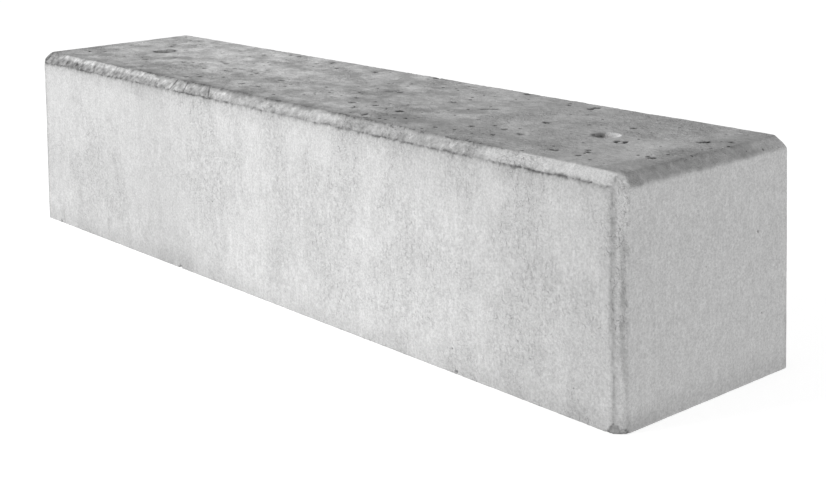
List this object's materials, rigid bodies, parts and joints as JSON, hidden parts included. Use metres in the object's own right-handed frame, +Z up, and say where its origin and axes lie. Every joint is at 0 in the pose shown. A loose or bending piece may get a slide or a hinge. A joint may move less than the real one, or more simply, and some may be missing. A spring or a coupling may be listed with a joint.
{
  "type": "concrete barrier block",
  "caption": "Rectangular precast concrete barrier block with a chamfered top, recessed ball-head lifting anchors and a cast-in steel cage.",
  "frame": {"origin": "middle of the flat underside that the block stands on", "axes": "+X along the block, +Y across it towards the rear face, +Z up"},
  "size_m": [2.5, 0.6, 0.55],
  "materials": {
    "concrete": "as struck from the mould: pale cement skin, streaks, bugholes",
    "anchor_steel": "forged, dull, lightly rusted head",
    "bar_steel": "hot-rolled, mill scale with light rust",
    "spacer_mortar": "fine mortar",
    "tie_wire": "black annealed wire"
  },
  "bodies": {
    "root": {"concrete_body": "concrete", "lifting_anchor_left": "anchor_steel", "lifting_anchor_right": "anchor_steel", "bar_bottom_front": "bar_steel", "bar_bottom_rear": "bar_steel", "bar_middle_front": "bar_steel", "bar_middle_rear": "bar_steel", "bar_top_front": "bar_steel", "bar_top_rear": "bar_steel", "link_01": "bar_steel", "link_02": "bar_steel", "link_03": "bar_steel", "link_04": "bar_steel", "link_05": "bar_steel", "link_06": "bar_steel", "link_07": "bar_steel", "link_08": "bar_steel", "link_09": "bar_steel", "link_10": "bar_steel", "spacer_front_high_01": "spacer_mortar", "spacer_front_low_01": "spacer_mortar", "spacer_rear_high_01": "spacer_mortar", "spacer_rear_low_01": "spacer_mortar", "spacer_top_front_01": "spacer_mortar", "spacer_top_rear_01": "spacer_mortar", "spacer_front_high_04": "spacer_mortar", "spacer_front_low_04": "spacer_mortar", "spacer_rear_high_04": "spacer_mortar", "spacer_rear_low_04": "spacer_mortar", "spacer_top_front_04": "spacer_mortar", "spacer_top_rear_04": "spacer_mortar", "spacer_front_high_07": "spacer_mortar", "spacer_front_low_07": "spacer_mortar", "spacer_rear_high_07": "spacer_mortar", "spacer_rear_low_07": "spacer_mortar", "spacer_top_front_07": "spacer_mortar", "spacer_top_rear_07": "spacer_mortar", "spacer_front_high_10": "spacer_mortar", "spacer_front_low_10": "spacer_mortar", "spacer_rear_high_10": "spacer_mortar", "spacer_rear_low_10": "spacer_mortar", "spacer_top_front_10": "spacer_mortar", "spacer_top_rear_10": "spacer_mortar", "ties_bottom_front": "tie_wire", "ties_bottom_rear": "tie_wire", "ties_middle_front": "tie_wire", "ties_middle_rear": "tie_wire", "ties_top_rear": "tie_wire"}
  },
  "joints": []
}
